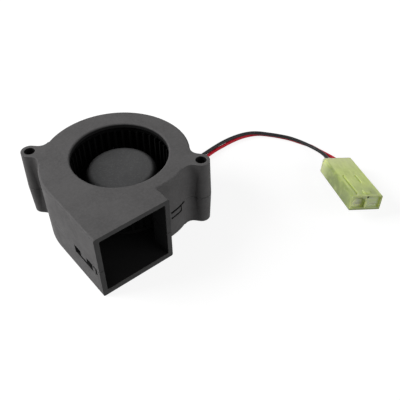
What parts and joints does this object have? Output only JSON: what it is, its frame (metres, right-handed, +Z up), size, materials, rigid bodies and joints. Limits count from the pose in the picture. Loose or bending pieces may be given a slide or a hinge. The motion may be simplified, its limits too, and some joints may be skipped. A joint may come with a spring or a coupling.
{
  "type": "dc blower fan",
  "caption": "Small centrifugal blower: squirrel-cage impeller in a snap-fit scroll casing with screw ears, a square side outlet and a short two-wire lead with connector.",
  "frame": {"origin": "on the impeller's spin axis, at the base plane that the blower stands on", "axes": "+Z up along the spin axis, the way the round inlet faces; -Y the way the outlet blows; +X the side that the leads leave from"},
  "size_m": [0.082, 0.0658, 0.02],
  "materials": {
    "casing_plastic": "fine moulded grain",
    "impeller_plastic": "smooth moulded",
    "connector_nylon": "translucent, satin",
    "black_insulation": "satin",
    "red_insulation": "satin",
    "tube_brass": "machined",
    "sintered_bronze": "porous, oiled",
    "contact_brass": "stamped, bright",
    "winding_copper": "enamelled wire",
    "pad_plastic": "smooth",
    "insulator_plastic": "smooth",
    "slinger_plastic": "smooth",
    "lamination_steel": "stamped stack",
    "yoke_steel": "drawn",
    "shaft_steel": "ground",
    "tinned_pins": "bright",
    "bonded_magnet": "pressed",
    "board_laminate": "green resist",
    "chip_epoxy": "moulded",
    "capacitor_body": "fired"
  },
  "bodies": {
    "casing": {"upper_casing": "casing_plastic", "lower_casing": "casing_plastic", "bearing_tube": "tube_brass", "sleeve_bearing": "sintered_bronze", "thrust_pad": "pad_plastic", "stator_core": "lamination_steel", "upper_insulator": "insulator_plastic", "lower_insulator": "insulator_plastic", "coil_1": "winding_copper", "coil_2": "winding_copper", "coil_3": "winding_copper", "coil_4": "winding_copper", "circuit_board": "board_laminate", "hall_driver": "chip_epoxy", "board_capacitor": "capacitor_body", "board_diode": "chip_epoxy", "winding_pins": "tinned_pins", "black_lead_tail": "black_insulation", "red_lead_tail": "red_insulation", "black_lead": "black_insulation", "red_lead": "red_insulation", "connector_housing": "connector_nylon", "black_contact": "contact_brass", "red_contact": "contact_brass"},
    "rotor": {"impeller": "impeller_plastic", "hub_insert": "tube_brass", "rotor_yoke": "yoke_steel", "ring_magnet": "bonded_magnet", "shaft": "shaft_steel", "oil_slinger": "slinger_plastic", "retaining_clip": "shaft_steel"}
  },
  "joints": [
    {"name": "impeller_spin", "type": "hinge", "parent": "casing", "child": "rotor", "pos_m": [0, 0, 0.01], "axis": [0, 0, 1], "continuous": true}
  ]
}
